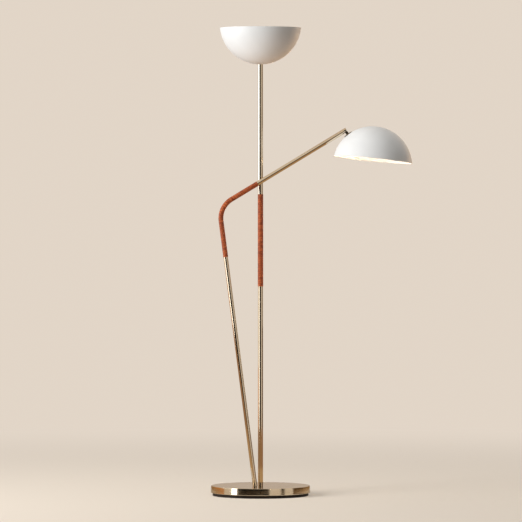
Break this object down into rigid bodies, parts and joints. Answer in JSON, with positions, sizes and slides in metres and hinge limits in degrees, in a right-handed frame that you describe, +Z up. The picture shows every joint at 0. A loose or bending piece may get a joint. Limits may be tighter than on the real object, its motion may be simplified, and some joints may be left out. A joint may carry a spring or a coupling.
{
  "type": "torchiere floor lamp with reading light",
  "caption": "Brass floor lamp: round weighted base, leather-wrapped stem under an upward white bowl, and a bent leather-wrapped side tube carrying a tilting white reading shade.",
  "frame": {"origin": "centre of the round base, on the floor under the foot ring", "axes": "+Z up along the stem, +X to the right towards the reading light as seen from the front, +Y to the back; the bent tube runs in front of the stem, at -Y"},
  "size_m": [0.7575, 0.377, 1.7605],
  "materials": {
    "polished_brass": "polished",
    "plain_steel": "satin",
    "cast_iron": "matte",
    "black_rubber": "matte",
    "black_plastic": "satin",
    "clear_nylon": "satin",
    "brown_leather": "satin",
    "white_sheath": "satin",
    "white_enamel": "satin",
    "porcelain": "gloss",
    "bulb_glass": "gloss",
    "lit_bulb_glass": "gloss"
  },
  "bodies": {
    "lamp_frame": {"foot_ring": "black_rubber", "base_plate": "plain_steel", "plate_screws": "plain_steel", "base_weight": "cast_iron", "base_cover": "polished_brass", "junction_block": "black_plastic", "cord_inlet_bush": "black_rubber", "stem_foot_stud": "plain_steel", "stem_foot_washer": "plain_steel", "stem_foot_nut": "plain_steel", "stem_foot_plug": "plain_steel", "leg_foot_stud": "plain_steel", "leg_foot_washer": "plain_steel", "leg_foot_nut": "plain_steel", "leg_foot_plug": "plain_steel", "stem_lower_tube": "polished_brass", "stem_middle_tube": "polished_brass", "stem_upper_tube": "polished_brass", "stem_lower_coupler": "plain_steel", "stem_upper_coupler": "plain_steel", "stem_leather_wrap": "brown_leather", "stem_top_plug": "plain_steel", "stem_lead": "white_sheath", "leg_tube": "polished_brass", "leg_coupler": "plain_steel", "elbow_tube": "polished_brass", "elbow_leather_wrap": "brown_leather", "arm_coupler": "plain_steel", "arm_tube": "polished_brass", "tube_bridge": "polished_brass", "arm_lead": "white_sheath", "bowl_shade": "white_enamel", "bowl_stud": "plain_steel", "bowl_washer": "polished_brass", "bowl_nut": "plain_steel", "bowl_holder_cap": "polished_brass", "bowl_holder_shell": "polished_brass", "bowl_holder_insert": "porcelain", "bowl_bulb_cap": "polished_brass", "bowl_bulb_glass": "bulb_glass", "knuckle_barrel": "polished_brass", "pivot_screw": "polished_brass", "pivot_washers": "clear_nylon"},
    "reading_knuckle": {"knuckle_tongue": "polished_brass", "reading_washer": "polished_brass", "reading_nut": "plain_steel", "reading_holder_cap": "polished_brass", "reading_holder_shell": "polished_brass", "reading_holder_insert": "porcelain", "reading_bulb_cap": "polished_brass", "reading_bulb_glass": "lit_bulb_glass"},
    "reading_shade_swivel": {"reading_shade": "white_enamel", "reading_seat_disc": "polished_brass"},
    "reading_knob": {"reading_switch_knob": "black_plastic"},
    "bowl_knob": {"bowl_switch_knob": "black_plastic"}
  },
  "joints": [
    {"name": "reading_tilt", "type": "hinge", "parent": "lamp_frame", "child": "reading_knuckle", "pos_m": [0.31777, -0.0205, 1.37382], "axis": [0, -1, 0], "range_deg": [-15, 60]},
    {"name": "shade_swivel", "type": "hinge", "parent": "reading_knuckle", "child": "reading_shade_swivel", "pos_m": [0.31777, -0.0205, 1.37382], "axis": [-0.6088, 0, 0.7934], "continuous": true},
    {"name": "reading_switch_turn", "type": "hinge", "parent": "reading_knuckle", "child": "reading_knob", "pos_m": [0.34169, -0.0205, 1.34265], "axis": [-0.7934, 0, -0.6088], "continuous": true},
    {"name": "bowl_switch_turn", "type": "hinge", "parent": "lamp_frame", "child": "bowl_knob", "pos_m": [0, 0, 1.645], "axis": [1, 0, 0], "continuous": true}
  ]
}
